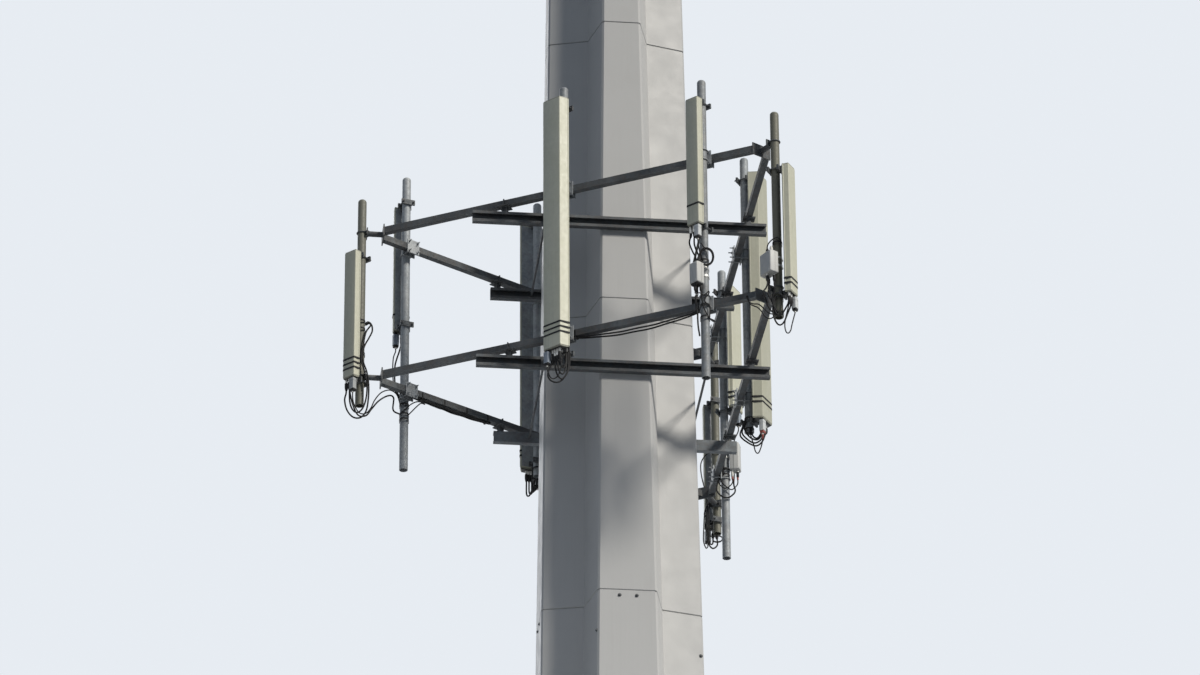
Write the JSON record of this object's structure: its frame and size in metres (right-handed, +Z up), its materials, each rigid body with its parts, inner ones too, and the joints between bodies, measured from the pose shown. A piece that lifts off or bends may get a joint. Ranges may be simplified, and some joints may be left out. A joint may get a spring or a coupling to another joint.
{
  "type": "cell tower, five monopole bays with a triangular antenna frame",
  "caption": "Tapered four-lobed steel cell tower carrying a two-tier triangular antenna frame with mount pipes and panel antennas, from ground flange to cap",
  "frame": {"origin": "centre of the base flange's underside, on the pole's axis at ground level", "axes": "+Z up along the pole, -Y towards the side that faces the picture, +X to that side's right"},
  "size_m": [3.6205, 4.122, 13.86],
  "materials": {
    "pole_paint": "satin, dusty",
    "weathered_steel": "dull, weathered galvanising",
    "galvanised_steel": "spangled galvanising, weathered",
    "radome": "matt, sun-bleached",
    "unit_paint": "matt powder coat",
    "unit_plastic": "matt",
    "cable_jacket": "dull"
  },
  "bodies": {
    "root": {"pole_bay_1": "pole_paint", "pole_bay_2": "pole_paint", "pole_bay_3": "pole_paint", "pole_bay_4": "pole_paint", "pole_bay_5": "pole_paint", "base_flange": "pole_paint", "pole_cap": "pole_paint", "front_channel_upper": "weathered_steel", "front_channel_lower": "weathered_steel", "rear_channel_upper": "weathered_steel", "rear_channel_lower": "weathered_steel", "clamp_rods": "weathered_steel", "tube_seats": "weathered_steel", "face_tubes_front": "weathered_steel", "face_tubes_right": "weathered_steel", "face_tubes_left": "weathered_steel", "standoffs_front": "weathered_steel", "standoffs_right": "weathered_steel", "standoffs_left": "weathered_steel", "pipes_front": "galvanised_steel", "pipes_right": "galvanised_steel", "pipes_left": "galvanised_steel", "pipe_clamps_front": "galvanised_steel", "pipe_clamps_right": "galvanised_steel", "pipe_clamps_left": "galvanised_steel", "antenna_front_corner": "radome", "antenna_front_long": "radome", "antenna_front_end": "radome", "antenna_right_corner": "radome", "antenna_right_long": "radome", "antenna_right_end": "radome", "antenna_left_corner": "radome", "antenna_left_long": "radome", "antenna_left_end": "radome", "antenna_brackets_front": "weathered_steel", "antenna_brackets_right": "weathered_steel", "antenna_brackets_left": "weathered_steel", "tilt_units": "unit_plastic", "amplifier_front_end": "unit_paint", "amplifier_right_corner": "unit_paint", "amplifier_right_end": "unit_paint", "jumpers_front": "cable_jacket", "jumpers_right": "cable_jacket", "jumpers_left": "cable_jacket", "feeder_cables": "cable_jacket"}
  },
  "joints": []
}
